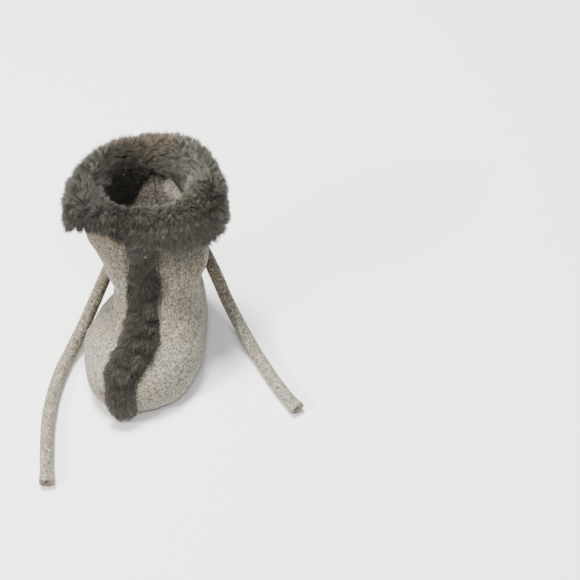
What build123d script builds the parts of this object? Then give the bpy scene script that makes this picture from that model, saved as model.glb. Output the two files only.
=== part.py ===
from build123d import *
import math
import os

# Baby bootie: a soft slipper of brushed suede cloth with a fur strip down its front,
# a turned-down fur cuff and two rolled ties sewn on behind the ankle.
# Millimetres. +Z is up, -Y is the toe, z = 0 is the floor under the sole.

os.makedirs("parts", exist_ok=True)

# Thickness of each layer of the wall and of the sole.
SUEDE = 1.4
LINING = 1.0
LAYER_GAP = 0.3
OUTSOLE_TOP = 1.5
PADDING_TOP = 4.7
INSOLE_TOP = 5.9
LINING_BOTTOM = 6.1

# The rim and its cuff are not level: they rise towards the heel and a little to the right.
# Heights of the pieces that end at the rim are measured in the middle of it.
RIM_Y = 20.0
RIM_RISE_BACK = 0.22
RIM_RISE_RIGHT = 0.03
SHELL_TOP = 90.5
CUFF_BOTTOM = 65.0
PILE_TOP = 73.4

# Fur pile standing out of the front strip, and the seams beside it and at the back.
PILE = 3.6
SEAM_GAP = 0.7
THREAD = 0.4
BACK_SEAM_X = 3.0

# Ties: rolled tubes of the same suede.
TIE_D = 7.2
TACK_THICK = 0.6
TACK_WIDE = 1.8

# Line between the front half of the bootie, cut by the strip, and the back half,
# and a distance that clears the bootie on every side.
MID_Y = 8.0
FAR = 60.0

# The bootie's outside, level by level: height, left, right, toe, heel,
# place of the greatest width, toe lean, heel lean, heel taper.
FORM = [
    (0.0, -29.0, 23.5, -47.0, 47.0, -6.0, -3.0, 12.0, 0.20),
    (4.0, -33.0, 26.8, -50.5, 50.4, -6.0, -3.5, 13.0, 0.22),
    (12.0, -35.2, 28.4, -52.0, 51.8, -6.0, -4.0, 13.0, 0.24),
    (20.0, -32.0, 28.4, -48.5, 50.8, -6.0, -4.0, 11.0, 0.28),
    (27.0, -25.0, 27.2, -39.5, 48.6, -3.0, -4.0, 7.5, 0.34),
    (33.0, -17.8, 25.6, -28.5, 46.3, 3.0, -3.0, 4.0, 0.26),
    (40.0, -18.2, 25.2, -15.5, 44.0, 9.0, -1.0, 1.0, 0.08),
    (48.0, -24.3, 29.3, -6.5, 43.0, 16.0, 0.0, 0.5, 0.0),
    (58.0, -30.6, 31.0, 0.0, 43.0, 20.0, 0.0, 0.0, 0.0),
    (68.0, -32.6, 31.8, 2.0, 43.2, 20.0, 0.0, 1.0, 0.02),
    (78.0, -33.2, 32.2, 2.5, 43.7, 20.0, 0.0, 2.0, 0.04),
    (90.0, -33.2, 32.2, 2.5, 44.0, 20.0, 0.0, 3.0, 0.06),
    (106.0, -33.2, 32.2, 2.5, 44.0, 20.0, 0.0, 3.0, 0.06),
]

# The fur cuff's outside and the mouth inside it, in the same terms but in levels
# that slope as the rim does.
CUFF = [
    (CUFF_BOTTOM, -37.4, 36.6, -1.0, 46.4, 18.0, 0.0, 3.0, 0.06),
    (70.5, -40.2, 39.6, -3.5, 49.4, 18.0, 0.0, 3.0, 0.06),
    (78.5, -41.0, 40.8, -4.6, 50.6, 18.0, 0.0, 3.0, 0.06),
    (88.0, -39.8, 40.0, -3.6, 50.2, 18.0, 0.0, 3.0, 0.06),
    (94.5, -36.6, 36.8, -0.6, 48.0, 18.0, 0.0, 3.0, 0.06),
    (98.5, -31.2, 31.4, 3.6, 43.6, 19.0, 0.0, 3.0, 0.04),
]
MOUTH = [
    (61.0, -21.0, 21.4, 9.5, 34.0, 21.0, 0.0, 2.0, 0.0),
    (72.0, -21.2, 21.8, 9.5, 34.0, 21.0, 0.0, 2.0, 0.0),
    (87.0, -21.6, 22.4, 9.0, 34.2, 21.0, 0.0, 2.0, 0.0),
    (95.5, -23.2, 24.2, 7.2, 36.0, 21.0, 0.0, 2.0, 0.0),
    (101.0, -27.0, 28.0, 4.0, 39.6, 21.0, 0.0, 2.0, 0.0),
]

# Lower edge of the cuff seen from the front: it droops at both sides.
CUFF_EDGE = [
    (-46.0, 67.0), (-40.0, 73.0), (-33.0, 80.6), (-26.0, 82.2), (-17.0, 81.0), (-6.0, 78.8),
    (6.0, 76.6), (14.0, 73.6), (22.0, 71.0), (29.0, 71.0), (36.0, 72.0), (46.0, 68.0),
]

# Edges of the front strip seen from the front, as (x, height) from the top down.
STRIP_LEFT = [
    (-8.0, 105.0), (-8.3, 66.0), (-9.2, 44.0), (-10.6, 33.0),
    (-16.5, 27.2), (-20.0, 22.5), (-18.6, 12.0), (-14.0, -3.0),
]
STRIP_RIGHT = [
    (4.5, 105.0), (5.0, 66.0), (6.2, 44.0), (5.4, 33.5),
    (0.2, 27.0), (-4.6, 21.5), (-5.4, 12.0), (-5.0, -3.0),
]

# Routes of the ties' centre lines, from the back seam to the free end.
TIE_LEFT = [
    (0.5, 50.6, 38.5), (-16.2, 42.4, 37.0), (-24.3, 25.6, 31.5), (-32.8, 12.2, 16.4),
    (-41.4, -3.0, 4.6), (-48.5, -27.0, 3.7), (-50.4, -61.5, 3.7), (-45.2, -95.0, 3.7),
]
TIE_RIGHT = [
    (5.5, 51.4, 38.5), (23.5, 43.4, 37.0), (32.0, 26.0, 32.5), (40.5, 12.5, 17.0),
    (52.5, -5.5, 4.6), (63.0, -26.0, 3.7), (71.0, -40.5, 3.7), (77.0, -48.2, 3.7),
]


def outline(rows, level, inset):
    """Points round the bootie at one level, drawn in by a distance square to its surface."""
    z, left, right, toe, heel, widest, lean, heel_lean, taper = rows[level]
    below = rows[max(level - 1, 0)]
    above = rows[min(level + 1, len(rows) - 1)]
    rise = above[0] - below[0]
    draw_in = [inset * math.hypot(1.0, (above[side] - below[side]) / rise) for side in range(5)]
    left += draw_in[1]
    right -= draw_in[2]
    toe += draw_in[3]
    heel -= draw_in[4]
    centre = (left + right) / 2
    half = (right - left) / 2
    points = []
    for step in range(16):
        turn = 2 * math.pi * step / 16
        across = math.copysign(abs(math.cos(turn)) ** 0.88, math.cos(turn))
        along = math.copysign(abs(math.sin(turn)) ** 0.88, math.sin(turn))
        if along > 0:
            x = centre + half * across * (1 - taper * along) + heel_lean * along
            y = widest + (heel - widest) * along
        else:
            x = centre + half * across + lean * along * along
            y = widest - (toe - widest) * along
        points.append((x, y))
    return points


def rim_plane(height):
    """Plane that slopes as the rim does, through a height in the middle of it."""
    return Plane(
        origin=(0, RIM_Y, height),
        x_dir=(1, 0, RIM_RISE_RIGHT),
        z_dir=(-RIM_RISE_RIGHT, -RIM_RISE_BACK, 1),
    )


def body_form(rows, inset=0.0):
    """Closed solid through the outlines of all the levels."""
    with BuildPart() as form:
        for level, row in enumerate(rows):
            with BuildSketch(Plane.XY.offset(row[0])):
                with BuildLine():
                    Spline(*outline(rows, level, inset), periodic=True)
                make_face()
        loft()
    return form.part


def rim_form(rows):
    """Closed solid through outlines that slope as the rim does."""
    with BuildPart() as form:
        for level, row in enumerate(rows):
            with BuildSketch(rim_plane(row[0])):
                with BuildLine():
                    Spline(*[(x, y - RIM_Y) for x, y in outline(rows, level, 0.0)], periodic=True)
                make_face()
        loft()
    return form.part


def front_zone(left_edge, right_edge):
    """Front half of space between two edges drawn in the front view."""
    with BuildPart() as zone:
        with BuildSketch(Plane.XZ.offset(70.0)):
            with BuildLine():
                first = Spline(*left_edge)
                last = Spline(*right_edge)
                Line(first @ 0, last @ 0)
                Line(first @ 1, last @ 1)
            make_face()
        extrude(amount=-(70.0 + MID_Y))
    return zone.part


def moved(edge, shift):
    """The same edge moved sideways."""
    return [(x + shift, z) for x, z in edge]


def slab(bottom, top):
    """Level slice through everything."""
    with BuildPart() as slice_part:
        with Locations((0, 0, (bottom + top) / 2)):
            Box(200, 200, top - bottom)
    return slice_part.part


def rim_slab(bottom, top):
    """Slice through everything that slopes as the rim does."""
    with BuildPart() as slice_part:
        with BuildSketch(rim_plane(bottom)):
            Rectangle(220, 220)
        extrude(amount=(top - bottom) * rim_plane(0).z_dir.Z)
    return slice_part.part


def layer(outside, inside, zone):
    """Part of the wall between two depths, within a zone of heights."""
    with BuildPart() as wall:
        add(body_form(FORM, outside))
        add(body_form(FORM, inside), mode=Mode.SUBTRACT)
        add(zone, mode=Mode.INTERSECT)
    return wall.part


def up_to_rim(bottom, top):
    """Space from a level height up to a height under the sloping rim."""
    with BuildPart() as space:
        add(rim_slab(bottom - 60, top))
        add(slab(bottom, 140), mode=Mode.INTERSECT)
    return space.part


def plate(inset, bottom, top):
    """Flat sheet that fills the form between two heights."""
    with BuildPart() as sheet:
        add(body_form(FORM, inset))
        add(slab(bottom, top), mode=Mode.INTERSECT)
    return sheet.part


def back_zone(from_x, to_x):
    """Back half of space between two upright planes."""
    with BuildPart() as zone:
        with Locations(((from_x + to_x) / 2, MID_Y + 40, 50)):
            Box(to_x - from_x, 80, 120)
    return zone.part


def tie_tube(route):
    """Rolled tie laid along straight runs joined by arcs."""
    radii = []
    for before, here, after in zip(route, route[1:], route[2:]):
        first = Vector(*here) - Vector(*before)
        second = Vector(*after) - Vector(*here)
        half_turn = math.radians(first.get_angle(second) / 2)
        radii.append(0.45 * min(first.length, second.length) / math.tan(half_turn))
    with BuildPart() as tube:
        with BuildLine() as centre_line:
            FilletPolyline(*route, radius=radii)
        wire = centre_line.wires()[0]
        with BuildSketch(Plane(origin=wire @ 0, z_dir=wire % 0)):
            Circle(TIE_D / 2)
        sweep(path=wire)
    section = math.pi * TIE_D ** 2 / 4
    print("tie length", round(wire.length, 1), "radii", [round(r, 1) for r in radii],
          "volume over section x length", round(tube.part.volume / (section * wire.length), 4))
    return tube.part


# Sole, from the floor up: suede outsole, foam padding and lining-cloth insole.
with BuildPart() as outsole:
    add(plate(0.0, 0.0, OUTSOLE_TOP))

with BuildPart() as sole_padding:
    add(plate(SUEDE + 1.4, OUTSOLE_TOP + 0.2, PADDING_TOP))

with BuildPart() as insole:
    add(plate(SUEDE + LAYER_GAP, PADDING_TOP + 0.2, INSOLE_TOP))

# Suede upper: two halves joined at the back seam, each sewn to the front strip.
# Each half lies outside one edge of the strip in front and on one side of the seam behind.
with BuildPart() as left_side:
    add(front_zone([(-FAR, 105.0), (-FAR, 50.0), (-FAR, -3.0)], moved(STRIP_LEFT, -SEAM_GAP)))
    add(back_zone(-FAR, BACK_SEAM_X - SEAM_GAP / 2))

with BuildPart() as right_side:
    add(front_zone(moved(STRIP_RIGHT, SEAM_GAP), [(FAR, 105.0), (FAR, 50.0), (FAR, -3.0)]))
    add(back_zone(BACK_SEAM_X + SEAM_GAP / 2, FAR))

upper_wall = layer(0.0, SUEDE, up_to_rim(OUTSOLE_TOP + 0.2, SHELL_TOP))

with BuildPart() as upper_left:
    add(upper_wall)
    add(left_side.part, mode=Mode.INTERSECT)

with BuildPart() as upper_right:
    add(upper_wall)
    add(right_side.part, mode=Mode.INTERSECT)

# Fur strip: its backing fills the space between the two halves of the upper,
# its pile stands out of them as far up as the cuff.
with BuildPart() as fur_strip:
    add(layer(-PILE, SUEDE, up_to_rim(OUTSOLE_TOP + 0.2, SHELL_TOP)))
    add(front_zone(STRIP_LEFT, STRIP_RIGHT), mode=Mode.INTERSECT)
    add(layer(-PILE - 3.0, 0.0, slab(PILE_TOP, 140)), mode=Mode.SUBTRACT)

# Lining inside the upper, in two halves that meet at the back seam.
LINING_OUT = SUEDE + LAYER_GAP
LINING_IN = LINING_OUT + LINING
lining_wall = layer(LINING_OUT, LINING_IN, up_to_rim(LINING_BOTTOM, SHELL_TOP))

with BuildPart() as lining_left:
    add(lining_wall)
    split(bisect_by=Plane.YZ.offset(BACK_SEAM_X - 0.15), keep=Keep.BOTTOM)

with BuildPart() as lining_right:
    add(lining_wall)
    split(bisect_by=Plane.YZ.offset(BACK_SEAM_X + 0.15), keep=Keep.TOP)

# Fur cuff: folded over the rim, so it has an outer leg, a crest and an inner leg
# with a slot for the wall between them. At the back the inner leg has a notch
# where the lining shows. Its lower edge droops at both sides.
with BuildPart() as notch:
    with BuildSketch(Plane.XZ.offset(-24.0)):
        with BuildLine():
            Polyline((-9.0, 60.0), (-1.0, 85.0), (3.0, 89.5), (10.0, 89.5), (14.0, 85.0), (20.0, 60.0),
                     close=True)
        make_face()
    extrude(amount=-40.0)
    add(body_form(FORM, LINING_IN), mode=Mode.INTERSECT)

cuff_front = Plane(
    origin=(0, RIM_Y, 0), x_dir=rim_plane(0).x_dir, z_dir=-rim_plane(0).y_dir
)
with BuildPart() as fur_cuff:
    add(rim_form(CUFF))
    add(rim_form(MOUTH), mode=Mode.SUBTRACT)
    add(layer(-0.3, LINING_IN + 0.3, up_to_rim(50.0, SHELL_TOP + 0.9)), mode=Mode.SUBTRACT)
    add(notch.part, mode=Mode.SUBTRACT)
    with BuildSketch(cuff_front):
        with BuildLine():
            edge = Spline(*CUFF_EDGE)
            Polyline(edge @ 1, (46.0, 45.0), (-46.0, 45.0), edge @ 0)
        make_face()
    extrude(amount=60, both=True, mode=Mode.SUBTRACT)

# Ties and the thread tacks that hold their roots to the back seam.
with BuildPart() as tie_left:
    add(tie_tube(TIE_LEFT))

with BuildPart() as tie_right:
    add(tie_tube(TIE_RIGHT))

with BuildPart() as tie_tacks:
    for route in (TIE_LEFT, TIE_RIGHT):
        root = Vector(*route[0])
        run = (Vector(*route[1]) - root).normalized()
        with BuildSketch(Plane(origin=root + run * 1.2, z_dir=run)):
            Circle(TIE_D / 2 + 0.05 + TACK_THICK)
            Circle(TIE_D / 2 + 0.05, mode=Mode.SUBTRACT)
        extrude(amount=TACK_WIDE)

# Seam threads, hidden in the turned seams.
with BuildPart() as sole_seam_thread:
    add(layer(SUEDE + 0.4, SUEDE + 0.9, slab(OUTSOLE_TOP + 0.3, OUTSOLE_TOP + 0.9)))

with BuildPart() as back_seam_thread:
    add(layer(0.4, 0.9, up_to_rim(OUTSOLE_TOP + 0.5, SHELL_TOP - 0.5)))
    add(back_zone(BACK_SEAM_X - THREAD / 2, BACK_SEAM_X + THREAD / 2), mode=Mode.INTERSECT)

with BuildPart() as strip_seam_lines:
    for edge, side in ((STRIP_LEFT, -1), (STRIP_RIGHT, 1)):
        near = moved(edge, side * (SEAM_GAP - THREAD) / 2)
        far = moved(edge, side * (SEAM_GAP + THREAD) / 2)
        add(front_zone(near, far))

with BuildPart() as strip_seam_threads:
    add(layer(0.4, 0.9, up_to_rim(OUTSOLE_TOP + 0.5, SHELL_TOP - 0.5)))
    add(strip_seam_lines.part, mode=Mode.INTERSECT)

with BuildPart() as cuff_seam_thread:
    add(layer(0.5, 1.1, rim_slab(SHELL_TOP + 0.15, SHELL_TOP + 0.65)))

for node, name in (
    (outsole, "outsole"),
    (sole_padding, "sole_padding"),
    (insole, "insole"),
    (upper_left, "upper_left"),
    (upper_right, "upper_right"),
    (lining_left, "lining_left"),
    (lining_right, "lining_right"),
    (fur_strip, "fur_strip"),
    (fur_cuff, "fur_cuff"),
    (tie_left, "tie_left"),
    (tie_right, "tie_right"),
    (tie_tacks, "tie_tacks"),
    (sole_seam_thread, "sole_seam_thread"),
    (back_seam_thread, "back_seam_thread"),
    (strip_seam_threads, "strip_seam_threads"),
    (cuff_seam_thread, "cuff_seam_thread"),
):
    node.part.label = name
    export_step(node.part, f"parts/{name}.step")
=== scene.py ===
import math

import bpy
import numpy as np
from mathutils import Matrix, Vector, noise
from mathutils.kdtree import KDTree

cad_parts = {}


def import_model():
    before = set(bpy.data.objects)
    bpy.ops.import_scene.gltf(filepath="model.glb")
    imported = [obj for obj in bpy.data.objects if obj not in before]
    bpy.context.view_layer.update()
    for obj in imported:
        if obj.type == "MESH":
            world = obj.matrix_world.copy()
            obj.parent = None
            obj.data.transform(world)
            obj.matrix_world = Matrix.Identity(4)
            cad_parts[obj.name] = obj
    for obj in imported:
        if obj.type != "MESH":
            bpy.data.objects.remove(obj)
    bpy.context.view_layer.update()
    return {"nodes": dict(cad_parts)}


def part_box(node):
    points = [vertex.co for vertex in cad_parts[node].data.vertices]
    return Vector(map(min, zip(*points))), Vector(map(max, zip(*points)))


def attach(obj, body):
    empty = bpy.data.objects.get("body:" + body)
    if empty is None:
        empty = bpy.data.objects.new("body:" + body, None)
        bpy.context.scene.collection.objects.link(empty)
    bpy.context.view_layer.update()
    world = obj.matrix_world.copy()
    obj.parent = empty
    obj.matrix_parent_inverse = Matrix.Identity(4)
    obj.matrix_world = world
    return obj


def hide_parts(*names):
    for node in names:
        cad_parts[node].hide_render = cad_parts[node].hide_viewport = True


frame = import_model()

MM = 0.001

# The origin of the drawing in millimetres, found from the fur cuff's box in the frame.
CUFF_MIDDLE = (0.0, 23.0)
cuff_low, cuff_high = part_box("fur_cuff")
ORIGIN = np.array([
    (cuff_low[0] + cuff_high[0]) / 2 - CUFF_MIDDLE[0] * MM,
    (cuff_low[1] + cuff_high[1]) / 2 - CUFF_MIDDLE[1] * MM,
    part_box("outsole")[0][2],
])


def world(points):
    """Drawing points in millimetres to metres in the frame."""
    return np.asarray(points, dtype=float) * MM + ORIGIN


# ---------------------------------------------------------------- camera
AIM = Vector(world([73.2, 0.0, 41.2]))
ELEVATION = math.radians(45.0)
DISTANCE = 0.70
camera_data = bpy.data.cameras.new("camera")
camera_data.lens = 84.0
camera_data.sensor_width = 36.0
camera = bpy.data.objects.new("camera", camera_data)
camera.location = AIM + Vector((0, -math.cos(ELEVATION), math.sin(ELEVATION))) * DISTANCE
camera.rotation_euler = (math.pi / 2 - ELEVATION, 0, 0)
camera_data.clip_start = 0.01
bpy.context.scene.collection.objects.link(camera)
bpy.context.scene.camera = camera


# ---------------------------------------------------------------- node helpers
def material(name):
    mat = bpy.data.materials.new(name)
    mat.use_nodes = True
    tree = mat.node_tree
    return mat, tree, tree.nodes["Principled BSDF"]


def noise_node(tree, coords, scale, detail=2.0, rough=0.5, distortion=0.0):
    made = tree.nodes.new("ShaderNodeTexNoise")
    made.inputs["Scale"].default_value = scale
    made.inputs["Detail"].default_value = detail
    made.inputs["Roughness"].default_value = rough
    made.inputs["Distortion"].default_value = distortion
    tree.links.new(coords, made.inputs["Vector"])
    return made.outputs["Fac"]


def ramp(tree, fac, stops):
    made = tree.nodes.new("ShaderNodeValToRGB")
    elements = made.color_ramp.elements
    while len(elements) < len(stops):
        elements.new(0.5)
    for element, (place, colour) in zip(elements, stops):
        element.position = place
        element.color = (*colour, 1.0)
    tree.links.new(fac, made.inputs["Fac"])
    return made.outputs["Color"]


def mix(tree, kind, fac, a, b):
    made = tree.nodes.new("ShaderNodeMix")
    made.data_type = "RGBA"
    made.blend_type = kind
    for socket, value in ((made.inputs["Factor"], fac), (made.inputs["A"], a), (made.inputs["B"], b)):
        if isinstance(value, bpy.types.NodeSocket):
            tree.links.new(value, socket)
        elif isinstance(value, tuple):
            socket.default_value = (*value, 1.0)
        else:
            socket.default_value = value
    return made.outputs["Result"]


def maths(tree, operation, a, b=None):
    made = tree.nodes.new("ShaderNodeMath")
    made.operation = operation
    for socket, value in zip(made.inputs, (a, b)):
        if isinstance(value, bpy.types.NodeSocket):
            tree.links.new(value, socket)
        elif value is not None:
            socket.default_value = value
    return made.outputs[0]


def bump(tree, height, strength, distance, below=None):
    made = tree.nodes.new("ShaderNodeBump")
    made.inputs["Strength"].default_value = strength
    made.inputs["Distance"].default_value = distance
    tree.links.new(height, made.inputs["Height"])
    if below is not None:
        tree.links.new(below, made.inputs["Normal"])
    return made.outputs["Normal"]


def span(tree, value, low, high):
    """0 to 1 as a value goes from low to high."""
    made = tree.nodes.new("ShaderNodeMapRange")
    made.interpolation_type = "SMOOTHSTEP"
    tree.links.new(value, made.inputs["Value"])
    made.inputs["From Min"].default_value = low
    made.inputs["From Max"].default_value = high
    return made.outputs["Result"]


def suede_material(name, dark, mid, light, worn, painted_cuff_shade=False):
    """Brushed suede cloth: fine nap, a grain of bright and dark specks, slightly soiled folds."""
    mat, tree, shader = material(name)
    coords = tree.nodes.new("ShaderNodeTexCoord").outputs["Object"]
    broad = noise_node(tree, coords, 34.0, 3.0, 0.55)
    mottle = noise_node(tree, coords, 640.0, 2.0, 0.6)
    grain = noise_node(tree, coords, 1500.0, 2.0, 0.65)
    fine = noise_node(tree, coords, 3600.0, 1.0, 0.5)
    coarse = maths(tree, "MULTIPLY", mottle, 0.30)
    tone = maths(tree, "ADD", coarse, maths(tree, "MULTIPLY", grain, 0.52))
    tone = maths(tree, "ADD", tone, maths(tree, "MULTIPLY", fine, 0.18))
    colour = ramp(tree, tone, [(0.39, dark), (0.49, mid), (0.58, light)])
    stain = ramp(tree, broad, [(0.36, worn), (0.60, (1.0, 1.0, 1.0))])
    colour = mix(tree, "MULTIPLY", 0.75, colour, stain)
    flecks = tree.nodes.new("ShaderNodeTexVoronoi")
    flecks.inputs["Scale"].default_value = 1050.0
    tree.links.new(coords, flecks.inputs["Vector"])
    picked = ramp(tree, flecks.outputs["Color"], [(0.60, (0.0, 0.0, 0.0)), (0.78, (1.0, 1.0, 1.0))])
    near = ramp(tree, flecks.outputs["Distance"], [(0.22, (1.0, 1.0, 1.0)), (0.44, (0.0, 0.0, 0.0))])
    spot = maths(tree, "MULTIPLY", picked, near)
    colour = mix(tree, "MIX", maths(tree, "MULTIPLY", spot, 0.42), colour, (0.66, 0.64, 0.585))
    if painted_cuff_shade:
        # Painted shade: the colour is darkened round the ankle, under the cuff, where the cuff's shadow
        # falls, and most on the right.
        parts = tree.nodes.new("ShaderNodeSeparateXYZ")
        tree.links.new(coords, parts.inputs[0])
        low, side = world([[-12.0, 0.0, 45.0], [16.0, 0.0, 64.0]])
        shade_under_cuff = span(tree, parts.outputs["Z"], low[2], side[2])
        across = span(tree, parts.outputs["X"], low[0], side[0])
        painted_shade_colour = mix(tree, "MIX", across, (0.56, 0.515, 0.475), (0.34, 0.345, 0.345))
        colour = mix(tree, "MULTIPLY", shade_under_cuff, colour, painted_shade_colour)
    tree.links.new(colour, shader.inputs["Base Color"])
    shine = maths(tree, "MULTIPLY", spot, 0.45)
    tree.links.new(maths(tree, "SUBTRACT", 0.88, shine), shader.inputs["Roughness"])
    shader.inputs["Sheen Weight"].default_value = 0.12
    shader.inputs["Sheen Roughness"].default_value = 0.45
    shader.inputs["Sheen Tint"].default_value = (0.95, 0.93, 0.90, 1.0)
    shader.inputs["Specular IOR Level"].default_value = 0.35
    soft = bump(tree, mottle, 0.35, 0.0006)
    tree.links.new(bump(tree, grain, 0.45, 0.00035, soft), shader.inputs["Normal"])
    return mat


# The outer suede carries painted shade under the cuff.
SUEDE = suede_material(
    "suede", dark=(0.054, 0.0475, 0.0355), mid=(0.146, 0.132, 0.104),
    light=(0.315, 0.290, 0.234), worn=(0.72, 0.63, 0.53), painted_cuff_shade=True)
SUEDE_TIE = suede_material(
    "suede_tie", dark=(0.055, 0.049, 0.038), mid=(0.146, 0.134, 0.108),
    light=(0.315, 0.292, 0.242), worn=(0.80, 0.73, 0.64))
# Painted light, in part: the lining is a light beige cloth, its colours raised well above the outer
# suede's so that the shaded inside of the bootie reads lit.
LINING = suede_material(
    "lining", dark=(0.13, 0.117, 0.100), mid=(0.33, 0.302, 0.270),
    light=(0.68, 0.635, 0.575), worn=(0.84, 0.78, 0.72))


def thread_material():
    mat, tree, shader = material("thread")
    coords = tree.nodes.new("ShaderNodeTexCoord").outputs["Object"]
    twist = noise_node(tree, coords, 1800.0, 2.0)
    colour = ramp(tree, twist, [(0.35, (0.085, 0.077, 0.062)), (0.65, (0.210, 0.192, 0.158))])
    tree.links.new(colour, shader.inputs["Base Color"])
    shader.inputs["Roughness"].default_value = 0.7
    tree.links.new(bump(tree, twist, 0.4, 0.0002), shader.inputs["Normal"])
    return mat


def foam_material():
    mat, tree, shader = material("padding")
    coords = tree.nodes.new("ShaderNodeTexCoord").outputs["Object"]
    cells = noise_node(tree, coords, 1400.0, 2.0)
    colour = ramp(tree, cells, [(0.3, (0.55, 0.53, 0.48)), (0.7, (0.80, 0.78, 0.73))])
    tree.links.new(colour, shader.inputs["Base Color"])
    shader.inputs["Roughness"].default_value = 0.95
    tree.links.new(bump(tree, cells, 0.5, 0.0004), shader.inputs["Normal"])
    return mat


def fur_skin_material():
    """Skin at the roots of the pile, coloured near-black as painted shade deep in the pile."""
    mat, tree, shader = material("fur_skin")
    coords = tree.nodes.new("ShaderNodeTexCoord").outputs["Object"]
    wool = noise_node(tree, coords, 900.0, 3.0, 0.6)
    colour = ramp(tree, wool, [(0.35, (0.010, 0.009, 0.007)), (0.65, (0.040, 0.036, 0.027))])
    tree.links.new(colour, shader.inputs["Base Color"])
    shader.inputs["Roughness"].default_value = 0.95
    tree.links.new(bump(tree, wool, 0.6, 0.0006), shader.inputs["Normal"])
    return mat


THREAD = thread_material()
FOAM = foam_material()
FUR_SKIN = fur_skin_material()

# Tones of the pile from dark to light, laid from root to tip so that the darker roots are painted shade
# deep in the pile; the last is a warm brown, painted reflected light at the cuff's back top edge and a
# warm tint on a few hairs elsewhere and near the toe.
PILE_TONES = []
for index, colour in enumerate((
    (0.0095, 0.0088, 0.0058), (0.0180, 0.0168, 0.0114), (0.0300, 0.0282, 0.0198),
    (0.0455, 0.0430, 0.0310), (0.0650, 0.0618, 0.0456), (0.0950, 0.0905, 0.0685), (0.100, 0.064, 0.031),
)):
    mat, tree, shader = material(f"pile_{index}")
    shader.inputs["Base Color"].default_value = (*colour, 1.0)
    shader.inputs["Roughness"].default_value = 0.62
    shader.inputs["Specular IOR Level"].default_value = 0.25
    shader.inputs["Sheen Weight"].default_value = 0.15
    shader.inputs["Sheen Roughness"].default_value = 0.5
    PILE_TONES.append(mat)

glitter_mat, _, glitter_shader = material("glitter")
glitter_shader.inputs["Base Color"].default_value = (0.9, 0.9, 0.88, 1.0)
glitter_shader.inputs["Metallic"].default_value = 0.6
glitter_shader.inputs["Roughness"].default_value = 0.25


# ---------------------------------------------------------------- the bootie's form, in millimetres
# height, left, right, toe, heel, place of the greatest width, toe lean, heel lean, heel taper
FORM = np.array([
    (0.0, -29.0, 23.5, -47.0, 47.0, -6.0, -3.0, 12.0, 0.20),
    (4.0, -33.0, 26.8, -50.5, 50.4, -6.0, -3.5, 13.0, 0.22),
    (12.0, -35.2, 28.4, -52.0, 51.8, -6.0, -4.0, 13.0, 0.24),
    (20.0, -32.0, 28.4, -48.5, 50.8, -6.0, -4.0, 11.0, 0.28),
    (27.0, -25.0, 27.2, -39.5, 48.6, -3.0, -4.0, 7.5, 0.34),
    (33.0, -17.8, 25.6, -28.5, 46.3, 3.0, -3.0, 4.0, 0.26),
    (40.0, -18.2, 25.2, -15.5, 44.0, 9.0, -1.0, 1.0, 0.08),
    (48.0, -24.3, 29.3, -6.5, 43.0, 16.0, 0.0, 0.5, 0.0),
    (58.0, -30.6, 31.0, 0.0, 43.0, 20.0, 0.0, 0.0, 0.0),
    (68.0, -32.6, 31.8, 2.0, 43.2, 20.0, 0.0, 1.0, 0.02),
    (78.0, -33.2, 32.2, 2.5, 43.7, 20.0, 0.0, 2.0, 0.04),
    (90.0, -33.2, 32.2, 2.5, 44.0, 20.0, 0.0, 3.0, 0.06),
    (106.0, -33.2, 32.2, 2.5, 44.0, 20.0, 0.0, 3.0, 0.06),
])
# The cuff and the mouth are drawn in levels that slope as the rim does.
CUFF = np.array([
    (65.0, -37.4, 36.6, -1.0, 46.4, 18.0, 0.0, 3.0, 0.06),
    (70.5, -40.2, 39.6, -3.5, 49.4, 18.0, 0.0, 3.0, 0.06),
    (78.5, -41.0, 40.8, -4.6, 50.6, 18.0, 0.0, 3.0, 0.06),
    (88.0, -39.8, 40.0, -3.6, 50.2, 18.0, 0.0, 3.0, 0.06),
    (94.5, -36.6, 36.8, -0.6, 48.0, 18.0, 0.0, 3.0, 0.06),
    (98.5, -31.2, 31.4, 3.6, 43.6, 19.0, 0.0, 3.0, 0.04),
])
MOUTH = np.array([
    (61.0, -21.0, 21.4, 9.5, 34.0, 21.0, 0.0, 2.0, 0.0),
    (72.0, -21.2, 21.8, 9.5, 34.0, 21.0, 0.0, 2.0, 0.0),
    (87.0, -21.6, 22.4, 9.0, 34.2, 21.0, 0.0, 2.0, 0.0),
    (95.5, -23.2, 24.2, 7.2, 36.0, 21.0, 0.0, 2.0, 0.0),
    (101.0, -27.0, 28.0, 4.0, 39.6, 21.0, 0.0, 2.0, 0.0),
])
CUFF_EDGE = np.array([
    (-46.0, 67.0), (-40.0, 73.0), (-33.0, 80.6), (-26.0, 82.2), (-17.0, 81.0), (-6.0, 78.8),
    (6.0, 76.6), (14.0, 73.6), (22.0, 71.0), (29.0, 71.0), (36.0, 72.0), (46.0, 68.0),
])
STRIP_LEFT = np.array([
    (-8.0, 105.0), (-8.3, 66.0), (-9.2, 44.0), (-10.6, 33.0),
    (-16.5, 27.2), (-20.0, 22.5), (-18.6, 12.0), (-14.0, -3.0),
])[::-1]
STRIP_RIGHT = np.array([
    (4.5, 105.0), (5.0, 66.0), (6.2, 44.0), (5.4, 33.5),
    (0.2, 27.0), (-4.6, 21.5), (-5.4, 12.0), (-5.0, -3.0),
])[::-1]
RIM_Y, RIM_RISE_BACK, RIM_RISE_RIGHT = 20.0, 0.22, 0.03
BACK_SEAM_X = 3.0
UPPER_LOW, UPPER_TOP = 1.4, 90.2
LINING_LOW, LINING_TOP = 5.6, 90.0
CLOTH_THICK = 1.1
SEAM_GAP = 0.1


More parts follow.
